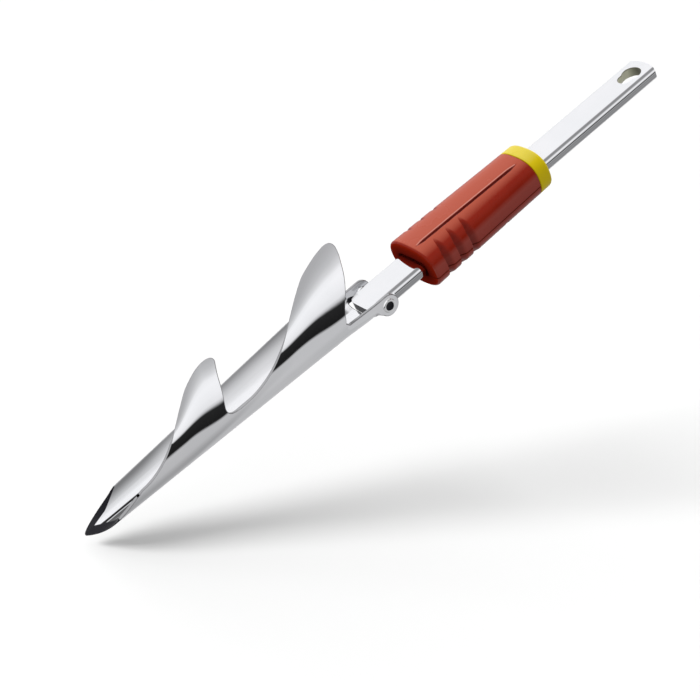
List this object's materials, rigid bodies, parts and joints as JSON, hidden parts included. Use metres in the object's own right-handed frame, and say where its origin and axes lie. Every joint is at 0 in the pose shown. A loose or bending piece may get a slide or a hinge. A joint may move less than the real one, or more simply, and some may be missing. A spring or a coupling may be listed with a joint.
{
  "type": "soil auger",
  "caption": "Hand soil auger: tapered gouge blade with back-raked flights, folding on a riveted clevis from a flat handle bar that carries a sliding moulded grip and a keyhole for hanging.",
  "frame": {"origin": "centre of the round part of the hang hole, half way through the flat bar", "axes": "+X along the bar to its free end, +Z along the hang hole and out of the open side of the gouge"},
  "size_m": [0.462, 0.044, 0.069],
  "materials": {
    "blade_steel": "polished plated sheet",
    "rivet_steel": "polished, dull dimple",
    "bar_steel": "polished plated bar",
    "plain_steel": "plain",
    "grip_red": "satin moulded",
    "collar_yellow": "satin moulded"
  },
  "bodies": {
    "handle": {"handle_bar": "bar_steel", "stop_pin": "plain_steel"},
    "blade": {"auger_blade": "blade_steel", "hinge_rivet": "rivet_steel"},
    "grip": {"grip_upper_shell": "grip_red", "grip_lower_shell": "grip_red", "grip_collar": "collar_yellow", "grip_screws": "plain_steel", "friction_spring": "plain_steel"}
  },
  "joints": [
    {"name": "blade_fold", "type": "hinge", "parent": "handle", "child": "blade", "pos_m": [-0.2295, 0, 0], "axis": [0, -1, 0], "range_deg": [0, 90]},
    {"name": "grip_slide", "type": "slide", "parent": "handle", "child": "grip", "axis": [1, 0, 0], "range_m": [-0.018, 0.052]}
  ]
}
